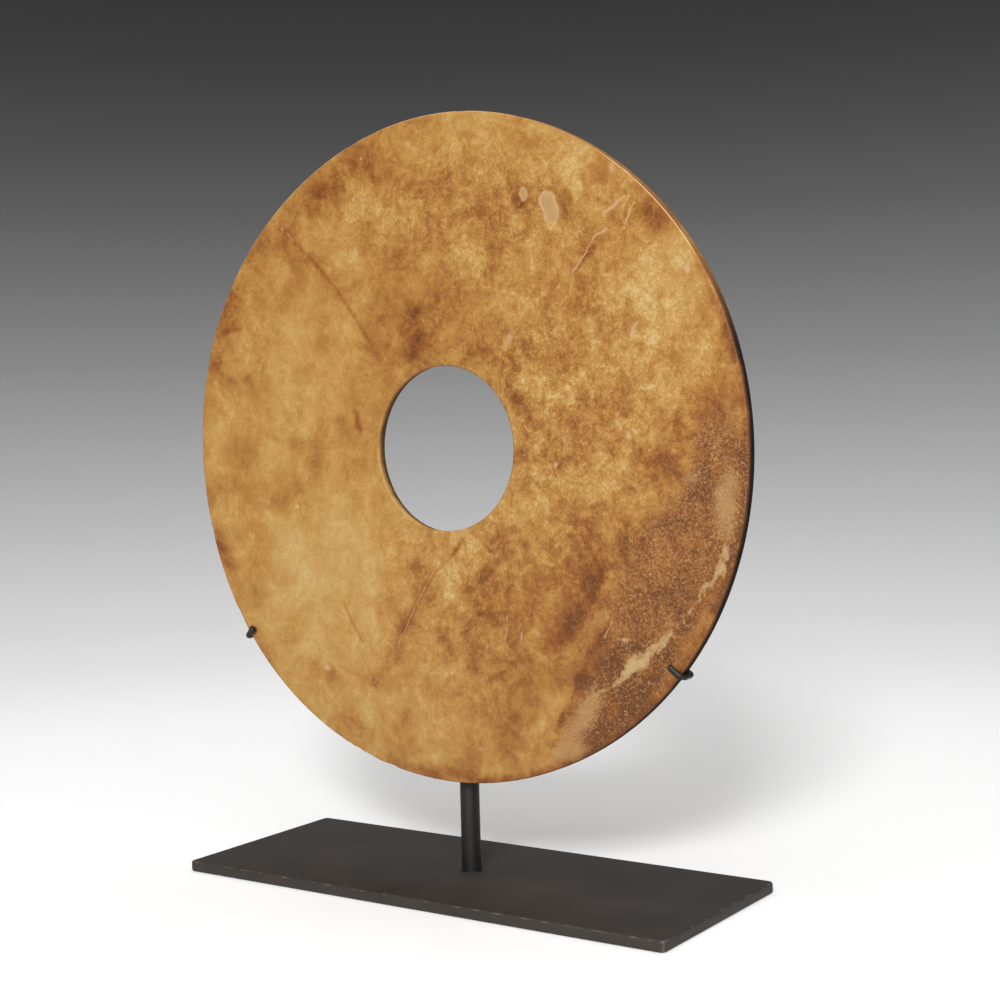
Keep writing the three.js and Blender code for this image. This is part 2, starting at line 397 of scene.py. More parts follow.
broadShades = [  # wide tones over everything, partly the stone's broad clouding and partly painted shade; a negative strength is paler
    (62, -80, 95, 62, 50, 0.2), (20, -92, 48, 62, 0, 0.06), (112, 4, 52, 42, 0, 0.1),
    (48, 8, 26, 36, 0, 0.12), (62, -128, 26, 20, 40, 0.2), (120, -78, 26, 12, 52, 0.2),
    (20, -42, 22, 12, 0, 0.12), (64, -48, 26, 18, 40, 0.1), (30, 128, 40, 18, -20, -0.08),
    (-56, -96, 34, 30, 0, -0.08), (136, -38, 16, 8, 70, -0.1),
    (138, 40, 22, 32, 0, 0.08), (30, 33, 26, 23, 0, 0.12), (0, 52, 32, 26, 0, 0.08),
    (0, 102, 32, 36, 0, 0.08), (66, 97, 38, 17, 0, 0.09), (-116, 84, 42, 18, 52, 0.15),
    (-136, 46, 16, 27, 0, 0.08), (-38, 112, 32, 12, 0, 0.1), (-70, 57, 34, 28, 0, -0.13),
    (-94, -6, 24, 22, 0, -0.06), (-86, -112, 52, 26, -45, -0.12), (-24, -118, 44, 34, 0, -0.09),
    (-62, -66, 66, 54, 0, -0.05), (52, 130, 46, 20, -30, -0.07), (-42, -34, 22, 22, 0, -0.07),
    (108, 74, 34, 26, -30, -0.06), (84, 48, 20, 18, 0, -0.05), (46, 56, 20, 16, 0, -0.05),
]
frostedZone = [
    (115, -52, 68, 34, 58, 0.9), (136, -16, 46, 22, 82, 0.9), (88, -102, 44, 20, 40, 0.8),
    (96, -76, 30, 22, 50, 0.5),
]
chalkStreaks = [
    (138, -41, 5, 3.4, 75, 1.1), (134, -49, 7.5, 3.4, 62, 1.1), (129.5, -55.5, 5.5, 2.8, 50, 1.0),
    (125.5, -60.5, 5, 1.4, 52, 0.8), (121, -66, 6.5, 1.1, 48, 0.7), (116, -71.5, 5, 1.3, 50, 0.7),
    (111, -76, 5.5, 2.2, 46, 0.9), (106.5, -80.5, 6.5, 3.6, 44, 1.0), (101, -85, 7, 4.6, 38, 1.0),
    (95, -89, 9, 6.4, 35, 1.1), (90, -94, 7.5, 4.2, 40, 0.9), (85, -98, 6, 2.8, 35, 0.75),
    (78, -102, 7, 3, 15, 0.5),
]
hazes = [  # a thin milky veil
    (138, -22, 27, 10, 82, 0.95), (134, 2, 14, 8, 80, 0.5), (122, -12, 8, 6, 0, 0.6),
    (117, -25, 10, 6, -20, 0.35), (108, -34, 16, 6, 20, 0.3), (97, -46, 16, 7, 50, 0.25),
    (74, -73, 11, 5.5, 20, 0.5), (81, -68.5, 8, 4, 25, 0.5), (84, -75, 8, 2.6, 55, 0.5),
    (68, -80, 9, 6, 40, 0.2), (74, -106, 12, 9.5, 40, 0.85), (69, -114, 13, 10, 50, 0.8),
    (61, -124, 14, 9.5, 55, 0.7), (53, -132.5, 11, 7, 40, 0.65), (66, -129, 13, 7, 32, 0.55),
    (89.5, -80.5, 6.5, 2.2, 5, 0.7), (118, -84, 8, 3.6, 40, 0.4), (104, -69, 16, 6, 45, 0.2),
]
lively = [  # where the mottling and the pale flecks are strong
    (70, 20, 130, 150, 0, 1.0), (0, 110, 130, 50, 0, 0.7), (0, -70, 60, 80, 0, 0.5),
    (-120, 60, 30, 60, 0, 0.3),
]
streaks = [  # half width, strength and the points it runs through
    (9, 0.14, [(92, -36), (80, -50), (70, -60), (60, -76), (53, -88)]),
    (3, 0.16, [(84, -47), (77, -58), (71, -68)]), (4.5, 0.2, [(99, -79), (88, -84), (78, -90), (69, -98)]),
    (2.6, 0.25, [(98, -83), (90, -87), (84, -92)]), (2.0, 0.16, [(83, -74), (78, -80), (71, -89), (66, -98)]),
    (1.7, 0.32, [(50, -133), (55, -121), (59, -113), (63, -105), (68, -98)]),
    (1.0, 0.2, [(57, -122), (61, -114), (65, -108)]), (5.5, 0.22, [(104, -94), (94, -104), (84, -115), (74, -126)]),
    (3.2, 0.16, [(113, -80), (105, -90)]), (2.6, 0.1, [(120, -70), (112, -80)]),
    (2.4, -0.12, [(54, -130), (60, -118), (65, -109)]), (1.6, -0.12, [(53, -115), (57, -106), (62, -98)]),
    (3.2, 0.15, [(8, -39), (-6, -51), (-18, -66), (-28, -82), (-36, -95), (-45, -107)]),
    (4, 0.07, [(-92, 106), (-76, 90), (-60, 74), (-48, 60), (-38, 44)]),
]
# Small marks on the front face. A line is its half width and the points it runs through.
paleLines = [
    (0.34, [(-8, -54), (-14, -62), (-22, -75), (-30, -89), (-34, -95), (-38, -100)]),
    (0.24, [(-38, -100), (-44, -106), (-47, -110), (-49, -118)]),
    (0.28, [(-33, -89), (-35.5, -87), (-38, -89)]),
    (0.4, [(68, 74), (75, 83), (79, 88.5)]),
    (0.8, [(79, 88.5), (82, 90), (84.5, 91.5)]),
    (0.9, [(83.5, 97.5), (88, 100), (93, 103.5)]),
    (0.5, [(93.5, 92.5), (96, 96), (96, 98), (99, 101)]),
    (0.45, [(93, 108), (95, 110.5), (98, 110)]),
    (0.3, [(-98, 109), (-91, 104), (-85, 99)]),
    (0.4, [(84, -70.5), (82, -75), (79.5, -79.5)]),
    (0.3, [(31, -72), (30, -79), (28, -86)]),
]
darkLines = [
    (0.4, [(10, -37), (4, -44), (-1, -49), (-7, -53.5), (-12, -60), (-18, -69), (-24, -79.5)]),
    (0.5, [(-85, 99), (-70, 85), (-60, 75), (-50, 62), (-42, 50)]),
    (0.45, [(-61, -70), (-56, -79), (-50, -88)]),
    (0.7, [(-50.5, 18.5), (-50, 14), (-48, 9.5)]),
    (0.5, [(71, 76), (77, 83.5), (82, 86.5), (87, 87)]),
    (0.6, [(14, -36), (20, -42), (24, -45)]),
    (0.35, [(82.5, -70), (80.5, -75), (77.5, -80)]),
    (0.5, [(86, -94), (89, -93), (91, -91)]),
    (0.5, [(-133, 58), (-127, 59.5), (-121, 59)]),
]
paleSpots = [
    (-88, -25.5, 2.6, 2.2, 0, 1.0), (-72, -101, 2.4, 3.2, 0, 0.8), (93.5, 5.5, 2, 3.6, 0, 0.9),
    (57, -6.5, 2.2, 2.8, 0, 0.8), (-67, 56, 4, 3, 0, 0.5), (-3.5, 58, 1.6, 3.2, 0, 0.6),
    (35, 48, 4, 7.5, -20, 0.55), (96, 47, 2.6, 5, -10, 0.8), (98, 51, 1.6, 4, -50, 0.7),
    (122, 72, 2.2, 3, 0, 0.8), (86, -13.5, 1.8, 2.2, 0, 0.7), (25.5, -103.5, 2, 2, 0, 0.6),
    (15, -132, 2.4, 2.4, 0, 0.6), (88, 116, 4, 5, 0, 0.6), (65, 127, 2.4, 4, 0, 0.6),
    (-16, 136, 2.6, 3.2, 0, 0.5), (62, 4, 2.2, 4.6, 10, 0.6), (38, -81, 1.4, 4, 0, 0.7),
    (64, -33, 2.4, 2.2, 0, 0.6), (90, -79.5, 5, 1.6, 8, 0.8), (84, 90.5, 3, 2, 30, 0.6),
    (74, 92, 2.4, 1.6, 0, 0.6), (134.5, 50, 2.2, 3, 0, 0.6), (-134, 50, 1.6, 1.6, 0, 0.7),
    (-25, -51, 1.6, 1.6, 0, 0.6), (-45, -36, 2.6, 1.4, 0, 0.5), (-40, -68, 1.4, 1.4, 0, 0.6),
    (-57, 126, 2, 1.4, 0, 0.6), (-43, 133, 2.2, 1.4, 0, 0.6), (-67, 113, 1.4, 2, 0, 0.6),
    (-48, 115, 1.6, 3, 0, 0.5), (20, -86, 1.2, 3, 0, 0.6), (-1, -108, 1.6, 2, 0, 0.5),
]
inclusions = [
    (44.3, 109, 2.6, 4.4, 8, 1.2), (55.6, 106, 6, 5.4, 20, 1.1), (57.4, 101, 6, 6.6, 0, 1.2),
    (58.5, 97.5, 4.6, 4, 0, 1.0),
]
dents = [  # the last number is the depth in millimetres
    (-88, -25.5, 4, 3.4, 0, 0.25), (-72, -101, 3.6, 5, 0, 0.2), (93.5, 5.5, 3, 5, 0, 0.25),
    (57, -6.5, 3.6, 4, 0, 0.25), (-67, 56, 6, 4.5, 0, 0.16), (44, 108.5, 5, 7, 0, 0.3),
    (57, 102, 9, 11, 0, 0.35), (35, 48, 6, 10, -20, 0.16), (96, 48, 4.5, 7, -20, 0.2),
    (78, 87, 8, 4, 42, 0.25), (88, 101, 8, 3.4, 27, 0.2), (-88, 17, 5, 4, 0, 0.15),
    (43, -1, 4, 4, 0, 0.2), (-18, -74, 54, 3.4, 52, 0.22), (80, -76, 14, 4, 50, 0.25),
    (84, -92, 16, 5, 50, 0.25), (62, -105, 12, 4, 58, 0.25), (76, -53, 22, 6, 50, 0.18),
]


def patchShare(across, up, patch):
    # 1 in the middle of a patch, falling smoothly to 0 at its edge
    middleAcross, middleUp, halfLength, halfWidth, turn = patch[:5]
    cosine = math.cos(math.radians(turn))
    sine = math.sin(math.radians(turn))
    along = ((across - middleAcross) * cosine + (up - middleUp) * sine) / halfLength
    aside = ((up - middleUp) * cosine - (across - middleAcross) * sine) / halfWidth
    return smoothStep(1 - np.hypot(along, aside))


def sumPatches(across, up, patches):
    total = np.zeros(len(across))
    for patch in patches:
        total += patch[5] * patchShare(across, up, patch)
    return total


def lineDistance(across, up, lines):
    # the distance to the nearest line, in half widths of that line
    nearest = np.full(len(across), 9.0)
    for halfWidth, points in lines:
        for (startAcross, startUp), (endAcross, endUp) in zip(points, points[1:]):
            runAcross = endAcross - startAcross
            runUp = endUp - startUp
            along = (across - startAcross) * runAcross + (up - startUp) * runUp
            along = np.clip(along / (runAcross ** 2 + runUp ** 2), 0, 1)
            gapAcross = across - startAcross - along * runAcross
            gapUp = up - startUp - along * runUp
            nearest = np.minimum(nearest, np.hypot(gapAcross, gapUp) / halfWidth)
    return nearest


def sumStreaks(across, up, strokes):
    total = np.zeros(len(across))
    for halfWidth, strength, points in strokes:
        total += strength * smoothStep(1 - lineDistance(across, up, [(halfWidth, points)]))
    return total


def spinDisc(settings):
    # the ring's section, a small flat plate, is rounded and spun about the disc's axis
    holeRadius = settings["holeRadius"]
    ringWidth = discRadius - holeRadius
    sectionMiddle = (discCentre.x + holeRadius + ringWidth / 2, discCentre.y, discCentre.z)
    startPiece()
    bpy.ops.mesh.primitive_plane_add(size=1, location=sectionMiddle)
    disc = bpy.context.object
    disc.scale = (ringWidth, discHigh.y - discLow.y, 1)
    settlePiece(disc, "jade_disc")
    bpy.ops.object.mode_set(mode="EDIT")
    holeX = discCentre.x + holeRadius
    rimX = discCentre.x + discRadius
    flaredX = holeX + settings["holeFlare"]
    holeBack = Vector((holeX, discHigh.y, discCentre.z))
    selectWhere(disc, lambda place: (place - holeBack).length < 0.1 * mm)
    bpy.ops.transform.translate(value=(settings["holeFlare"], 0, 0))
    corners = [
        (rimX, discLow.y, settings["frontRounding"], 4),
        (rimX, discHigh.y, settings["backRounding"], 5),
        (holeX, discLow.y, settings["holeRounding"], 4),
        (flaredX, discHigh.y, settings["holeRounding"], 3),
    ]
    for cornerX, cornerY, rounding, steps in corners:
        corner = Vector((cornerX, cornerY, discCentre.z))
        selectWhere(disc, lambda place: (place - corner).length < 0.1 * mm)
        bpy.ops.mesh.bevel(offset=rounding, segments=steps, affect="VERTICES")
    bpy.ops.mesh.select_all(action="SELECT")
    bpy.ops.mesh.delete(type="ONLY_FACE")
    tiny = 0.01 * mm
    inFront = discLow.y + 0.5 * mm
    behind = discHigh.y - 0.5 * mm
    sides = [
        (lambda place: place.y < discLow.y + tiny, settings["faceRings"]),
        (lambda place: place.y > discHigh.y - tiny, settings["backRings"]),
        (lambda place: place.x > rimX - tiny, settings["wallRings"]),
        (lambda place: place.x < flaredX + tiny and inFront < place.y < behind,
         settings["wallRings"]),
    ]
    for onSide, cuts in sides:
        selectWhere(disc, onSide)
        bpy.ops.mesh.subdivide(number_cuts=cuts)
    bpy.ops.mesh.select_all(action="SELECT")
    bpy.ops.mesh.spin(steps=settings["roundSteps"], angle=2 * math.pi, center=discCentre, axis=(0, 1, 0))
    closeUp()
    bpy.ops.object.mode_set(mode="OBJECT")
    return disc


def grindByHand(disc, settings):
    # the rim's waves fade out towards the hole, and the hole's shift towards the rim
    places = readPlaces(disc)
    across = places[:, 0] - discCentre.x
    up = places[:, 2] - discCentre.z
    distance = np.hypot(across, up)
    angle = np.arctan2(up, across)
    holeRadius = settings["holeRadius"]
    rimShare = np.clip((distance - holeRadius) / (discRadius - holeRadius), 0, 1)
    ground = distance + rimWave(angle) * rimShare
    shiftAcross, shiftUp = settings["holeShift"]
    places[:, 0] = discCentre.x + np.cos(angle) * ground + shiftAcross * (1 - rimShare)
    places[:, 2] = discCentre.z + np.sin(angle) * ground + shiftUp * (1 - rimShare)
    writePlaces(disc, places)


def faceCoordinates(disc):
    # across and up in millimetres from the disc's centre, and which side is the front
    places = readPlaces(disc)
    across = (places[:, 0] - discCentre.x) / mm
    up = (places[:, 2] - discCentre.z) / mm
    front = (places[:, 1] < discLow.y + 0.05 * mm).astype(float)
    return places, across, up, front


def refineMarks(disc):
    # the mesh is made finer round the small marks, once widely and once closely
    smallMarks = paleSpots + inclusions + dents
    for lineReach, chalkLevel in ((5.0, 0.03), (2.2, 0.3)):
        places, across, up, front = faceCoordinates(disc)
        nearest = np.minimum(lineDistance(across, up, paleLines), lineDistance(across, up, darkLines))
        wanted = (nearest < lineReach) | (sumPatches(across, up, smallMarks) > 0.02)
        wanted |= sumPatches(across, up, chalkStreaks) > chalkLevel
        wanted &= front > 0
        bpy.ops.object.mode_set(mode="EDIT")
        bpy.ops.mesh.select_mode(type="VERT")
        bpy.ops.mesh.select_all(action="DESELECT")
        bpy.ops.object.mode_set(mode="OBJECT")
        disc.data.vertices.foreach_set("select", wanted)
        bpy.ops.object.mode_set(mode="EDIT")
        bpy.ops.mesh.subdivide(number_cuts=1)
        bpy.ops.object.mode_set(mode="OBJECT")


def wearDisc(disc):
    places, across, up, front = faceCoordinates(disc)
    distance = np.hypot(across, up)
    angle = np.degrees(np.arctan2(up, across))
    back = (places[:, 1] > discHigh.y - 0.05 * mm).astype(float)
    # polished by hand, so neither face is quite flat
    inside = smoothStep((discRadius / mm - distance) / 12) * smoothStep((distance - 38) / 8)
    displacePiece(disc, inside * (front + back), 0.3 * mm, "Y", cloudTexture("hand polish", 0.04))
    weathered = np.clip(1.6 * sumPatches(across, up, frostedZone), 0, 1)
    displacePiece(disc, weathered * front * inside, 0.16 * mm, "Y", cloudTexture("weathering", 0.004))
    chalk = np.clip(2 * sumPatches(across, up, chalkStreaks), 0, 1)
    displacePiece(disc, chalk * front * inside, 0.2 * mm, "Y", cloudTexture("chalky loss", 0.006))
    deepest = 0.35
    depth = np.clip(sumPatches(across, up, dents) / deepest, 0, 1)
    groove = 0.4 * smoothStep(1.6 - lineDistance(across, up, paleLines) / 2)
    displacePiece(disc, np.clip(depth + groove, 0, 1) * front, deepest * mm, "Y")
    # small nicks along the rim's front edge
    dice = random.Random(11)
    nearRim = smoothStep((distance - discRadius / mm + 2.6) / 1.6)
    nicks = np.zeros(len(across))
    for _ in range(60):
        turn = dice.uniform(-180, 180)
        width = dice.uniform(0.5, 1.6)
        away = np.abs((angle - turn + 180) % 360 - 180)
        nicks += dice.uniform(0.2, 1) ** 2 * smoothStep(1 - away / width)
    edge = smoothStep((discLow.y + 1.3 * mm - places[:, 1]) / mm)
    displacePiece(disc, np.clip(nicks * nearRim * edge, 0, 1), -0.35 * mm, "NORMAL")


def paintStainsAndLight(disc):
    # the stone's clouds and marks, with painted shade among the broad tones and a painted highlight on the front
    # edge, are painted on its vertices, through a little turbulence
    places, across, up, _ = faceCoordinates(disc)
    swirls = np.array([noise.noise_vector(Vector(place) / (16 * mm)) for place in places])
    ripples = np.array([noise.noise_vector(Vector(place) / (5 * mm)) for place in places])
    trembles = np.array([noise.noise_vector(Vector(place) / (1.8 * mm)) for place in places])
    cloudAcross = across + 3.5 * swirls[:, 0] + 2.2 * ripples[:, 0] + 0.8 * trembles[:, 0]
    cloudUp = up + 3.5 * swirls[:, 2] + 2.2 * ripples[:, 2] + 0.8 * trembles[:, 2]
    markAcross = across + 0.7 * ripples[:, 0] + 0.35 * trembles[:, 0]
    markUp = up + 0.7 * ripples[:, 2] + 0.35 * trembles[:, 2]
    streakAcross = across + 1.8 * ripples[:, 0] + 1.2 * trembles[:, 0]
    streakUp = up + 1.8 * ripples[:, 2] + 1.2 * trembles[:, 2]
    front = np.clip((discHigh.y - 2 * mm - places[:, 1]) / (1 * mm), 0, 1)
    dark = sumPatches(cloudAcross, cloudUp, darkClouds)
    pale = sumPatches(cloudAcross, cloudUp, paleClouds)
    # wide tones, partly the stone's clouding and partly painted shade
    shades = sumPatches(cloudAcross, cloudUp, broadShades)
    # the face darkens a little way in from the rim's right side
    distance = np.hypot(across, up)
    angle = np.degrees(np.arctan2(up, across))
    rightSide = smoothStep((70 - np.abs(angle + 30)) / 30)
    rightRimDarkening = 0.35 * rightSide * smoothStep((distance + swirls[:, 0] + ripples[:, 2] - 144) / 3.5)
    lines = sumStreaks(streakAcross, streakUp, streaks)
    paintAttribute(disc, "stainAndShade", dark - pale + shades + lines + rightRimDarkening * front)
    # the weathered zone stops short of the rim, along a smooth strip
    zone = np.clip(2.2 * sumPatches(cloudAcross, cloudUp, frostedZone), 0, 1)
    strip = smoothStep((distance - 141) / 3) * smoothStep((14 - np.abs(angle + 31)) / 5)
    paintAttribute(disc, "frost", zone * (0.35 + 0.65 * front) * (1 - 0.4 * strip))
    paintAttribute(disc, "haze", sumPatches(streakAcross, streakUp, hazes) * front)
    paintAttribute(disc, "chalk", sumPatches(streakAcross, streakUp, chalkStreaks) * front)
    paintAttribute(disc, "lively", np.clip(sumPatches(across, up, lively), 0, 1))
    paintAttribute(disc, "paleLine", front * np.clip(2 - lineDistance(markAcross, markUp, paleLines), 0, 2))
    paintAttribute(disc, "darkLine", front * np.clip(1 - lineDistance(markAcross, markUp, darkLines) / 3, 0, 1))
    paintAttribute(disc, "paleSpot", front * sumPatches(markAcross, markUp, paleSpots))
    paintAttribute(disc, "inclusion", front * sumPatches(markAcross, markUp, inclusions))
    # a painted highlight on the front edge's rounding, bright along the upper right and faint round the upper left
    bright = smoothStep(1.5 - np.abs(angle - 44) / 11)
    faint = 0.45 * smoothStep(1.5 - np.abs(angle - 120) / 45)
    onBevel = smoothStep((distance - discRadius / mm + 1.6) / 0.8)
    onBevel *= smoothStep((discLow.y + 1.2 * mm - places[:, 1]) / (0.8 * mm))
    paintAttribute(disc, "paintedEdgeHighlight", onBevel * np.maximum(bright, faint))


disc = spinDisc(discSettings)
grindByHand(disc, discSettings)
refineMarks(disc)
wearDisc(disc)
keepWithin(disc, discLow, discHigh)
paintStainsAndLight(disc)
smoothPiece(40)
print("disc modelled:", len(disc.data.vertices), "vertices")


# ---- the stone

stoneSettings = {
    "tones": [  # from the palest stone to the darkest stain
        (0.0, (216, 185, 126)),
        (0.14, (203, 164, 99)),
        (0.26, (194, 149, 81)),
        (0.38, (184, 133, 65)),
        (0.56, (165, 111, 52)),
        (0.7, (150, 92, 40)),
        (0.84, (134, 78, 33)),
        (1.0, (112, 64, 28)),
    ],
    "middleTone": 0.38,
    "exposure": 0.64,
    "fleck": (226, 186, 122),
    "frost": (200, 158, 108),
    "pit": (98, 58, 28),
    "haze": (196, 156, 104),
    "chalk": (202, 172, 120),
    "chalkShade": (158, 110, 66),
    "pink": (222, 178, 136),
    "inclusion": (196, 162, 112),
    "inclusionRim": (226, 186, 144),
    "rim": (160, 100, 42),
    "rimShade": (112, 62, 32),
    "rimDark": (24, 14, 10),
    "holeWall": (84, 50, 26),
    # the colour of the painted highlight on the front edge
    "paintedEdgeHighlight": (246, 200, 156),
    "roughness": 0.44,
    "shine": 0.22,
}


def grain(tree, turn):
    # fine crystals, drawn out along one direction of the disc's face
    tilted = {
        "Vector": placeFrom(tree, discCentre),
        "Rotation": (0, math.radians(-turn), 0),
        "Scale": (2.0, 1, 1),
    }
    place = addNode(tree, "ShaderNodeMapping", tilted, vector_type="TEXTURE").outputs[0]
    return cloudNoise(tree, place, 0.8, 2.0, 0.6, 0.8)


def makeStone(settings):
    stone, tree, shader = newMaterial("honey jade")

    def shade(name):
        return colour(*settings[name], settings["exposure"])

    place = placeFrom(tree, discCentre)
    normal = addNode(tree, "ShaderNodeNewGeometry", {}).outputs["Normal"]
    facing = addNode(tree, "ShaderNodeSeparateXYZ", {"Vector": normal})
    position = addNode(tree, "ShaderNodeSeparateXYZ", {"Vector": place})
    stainAndShade = readAttribute(tree, "stainAndShade")
    frost = readAttribute(tree, "frost")
    chalk = readAttribute(tree, "chalk")
    livelyPart = readAttribute(tree, "lively")

    # tone: the painted stains and painted shade, broken up, in clouds, curds and grain
    clouds = cloudNoise(tree, place, 20.0, 6.0, 0.78, 0.4)
    clouds = calculate(tree, "SUBTRACT", clouds, 0.5)
    curds = cloudNoise(tree, place, 6.5, 4.0, 0.75, 0.9)
    curds = calculate(tree, "SUBTRACT", curds, 0.5)
    fine = cloudNoise(tree, place, 0.9, 2.0, 0.7, 0.5)
    fineOffset = calculate(tree, "SUBTRACT", fine, 0.5)
    cloudGain = calculate(tree, "MULTIPLY_ADD", livelyPart, 0.4, 1.2)
    curdGain = calculate(tree, "MULTIPLY_ADD", livelyPart, 1.0, 0.4)
    fineGain = calculate(tree, "MULTIPLY_ADD", livelyPart, 0.8, 0.3)
    patchy = calculate(tree, "MULTIPLY_ADD", clouds, 2.4, 0.9)
    tone = calculate(tree, "MULTIPLY_ADD", stainAndShade, patchy, settings["middleTone"])
    tone = calculate(tree, "MULTIPLY_ADD", clouds, cloudGain, tone)
    tone = calculate(tree, "MULTIPLY_ADD", curds, curdGain, tone)
    tone = calculate(tree, "MULTIPLY_ADD", fineOffset, fineGain, tone)
    darkLine = readAttribute(tree, "darkLine")
    tone = calculate(tree, "MULTIPLY_ADD", darkLine, 0.2, tone)
    tone = calculate(tree, "MULTIPLY_ADD", frost, 0.36, tone)
    ramp = addNode(tree, "ShaderNodeValToRGB", {"Fac": tone})
    steps = ramp.color_ramp.elements
    while len(steps) < len(settings["tones"]):
        steps.new(0.5)
    for step, (spot, toneColour) in zip(steps, settings["tones"]):
        step.position = spot
        step.color = colour(*toneColour, settings["exposure"])
    base = ramp.outputs["Color"]

    # pale flecks and short pale curls, thickest in the lively part
    flecks = useEffect(tree, specks, place, Size=0.9, Amount=0.42).outputs["Specks"]
    fleckShare = calculate(tree, "MULTIPLY", flecks, calculate(tree, "MULTIPLY_ADD", livelyPart, 0.26, 0.02))
    base = mixColour(tree, fleckShare, base, shade("fleck"))
    veins = cloudNoise(tree, place, 5.0, 2.0, 0.6, 1.2)
    veins = calculate(tree, "ABSOLUTE", calculate(tree, "SUBTRACT", veins, 0.5))
    curls = useEffect(tree, specks, place, Size=3.4, Amount=0.48).outputs["Specks"]
    curls = calculate(tree, "MULTIPLY", curls, remap(tree, veins, 0.03, 0.006))
    curls = calculate(tree, "MULTIPLY", curls, calculate(tree, "MULTIPLY_ADD", livelyPart, 0.4, 0.03))
    base = mixColour(tree, curls, base, shade("fleck"))

    # the weathered zone: pits and tangled crystals that lie two ways
    crystals = calculate(tree, "MAXIMUM", grain(tree, 25), grain(tree, -60))
    pitShare = calculate(tree, "MULTIPLY", frost, remap(tree, crystals, 0.53, 0.42, 0.0, 0.6))
    base = mixColour(tree, pitShare, base, shade("pit"))
    frostShare = calculate(tree, "MULTIPLY", frost, remap(tree, crystals, 0.54, 0.7, 0.0, 0.6))
    base = mixColour(tree, frostShare, base, shade("frost"))
    haze = calculate(tree, "MULTIPLY_ADD", clouds, 0.8, readAttribute(tree, "haze"))
    haze = calculate(tree, "MULTIPLY_ADD", calculate(tree, "SUBTRACT", crystals, 0.55), 1.2, haze)
    base = mixColour(tree, remap(tree, haze, 0.15, 0.9, 0.0, 0.6), base, shade("haze"))

    # chalky streaks with torn edges
    torn = cloudNoise(tree, place, 2.6, 5.0, 0.85, 1.0)
    chalkField = calculate(tree, "MULTIPLY_ADD", calculate(tree, "SUBTRACT", torn, 0.5), 1.7, chalk)
    chalkMask = remap(tree, chalkField, 0.38, 0.5)
    chalkMask = calculate(tree, "MULTIPLY", chalkMask, remap(tree, chalk, 0.02, 0.22, 0.0, 0.92))
    chalkTone = calculate(tree, "MULTIPLY_ADD", chalk, 0.3, torn)
    chalkColour = mixColour(tree, remap(tree, chalkTone, 0.5, 0.9), shade("chalkShade"), shade("chalk"))
    base = mixColour(tree, chalkMask, base, chalkColour)

    # pale lines, spots and inclusions
    paleLine = readAttribute(tree, "paleLine")
    brokenLine = calculate(tree, "MULTIPLY_ADD", fineOffset, 1.2, paleLine)
    brokenLine = calculate(tree, "MULTIPLY_ADD", curds, 2.4, brokenLine)
    lines = remap(tree, brokenLine, 0.9, 1.8, 0.0, 0.6)
    base = mixColour(tree, lines, base, shade("pink"))
    spotField = calculate(tree, "MULTIPLY_ADD", fineOffset, 0.9, readAttribute(tree, "paleSpot"))
    spotField = calculate(tree, "MULTIPLY_ADD", curds, 1.2, spotField)
    spots = remap(tree, spotField, 0.2, 0.8, 0.0, 0.7)
    base = mixColour(tree, spots, base, shade("pink"))
    inclusionField = calculate(tree, "MULTIPLY_ADD", fineOffset, 0.6, readAttribute(tree, "inclusion"))
    islands = remap(tree, inclusionField, 0.2, 0.5, 0.0, 0.75)
    islandRim = remap(tree, inclusionField, 0.75, 0.35)
    islandColour = mixColour(tree, islandRim, shade("inclusion"), shade("inclusionRim"))
    base = mixColour(tree, islands, base, islandColour)

    # the rim and the hole's wall: brown; low on the right the rim gets painted shade, almost black towards its back
    sidewaysEdge = calculate(tree, "ABSOLUTE", facing.outputs["Y"])
    sideways = remap(tree, sidewaysEdge, 0.35, 0.95, 1.0, 0.0)
    depth = calculate(tree, "MULTIPLY_ADD", clouds, 6.0, position.outputs["Y"])
    deep = remap(tree, depth, -2.9, -0.4)
    distance = addNode(tree, "ShaderNodeVectorMath", {0: place}, operation="LENGTH").outputs["Value"]
    onHole = calculate(tree, "MULTIPLY", sideways, remap(tree, distance, 60.0, 50.0))
    onRim = calculate(tree, "MULTIPLY", sideways, remap(tree, distance, 90.0, 100.0))
    base = mixColour(tree, calculate(tree, "MULTIPLY", onRim, 0.5), base, shade("rim"))
    # painted shade on the rim low on the right: darker brown, then almost black towards the back of the wall
    low = remap(tree, position.outputs["Z"], 84.0, 34.0)
    right = remap(tree, position.outputs["X"], 20.0, 90.0)
    shadedRim = calculate(tree, "MULTIPLY", calculate(tree, "MULTIPLY", low, right), onRim)
    base = mixColour(tree, calculate(tree, "MULTIPLY", shadedRim, 0.6), base, shade("rimShade"))
    base = mixColour(tree, calculate(tree, "MULTIPLY", shadedRim, deep), base, shade("rimDark"))
    holeShare = calculate(tree, "MULTIPLY", onHole, remap(tree, depth, -2.4, 0.6, 0.1, 0.9))
    base = mixColour(tree, holeShare, base, shade("holeWall"))
    # painted highlight along the rounded front edge
    edgeWearAndHighlight = calculate(tree, "MULTIPLY_ADD", fineOffset, 0.8, readAttribute(tree, "paintedEdgeHighlight"))
    ridge = remap(tree, facing.outputs["Y"], -0.97, -0.9)
    ridge = calculate(tree, "MULTIPLY", ridge, remap(tree, facing.outputs["Y"], -0.72, -0.6, 1.0, 0.0))
    edgeWearAndHighlight = calculate(tree, "MULTIPLY", remap(tree, edgeWearAndHighlight, 0.2, 0.7, 0.0, 0.9), ridge)
    base = mixColour(tree, edgeWearAndHighlight, base, shade("paintedEdgeHighlight"))
    tree.links.new(base, shader.inputs["Base Color"])
    shader.inputs["Specular IOR Level"].default_value = settings["shine"]

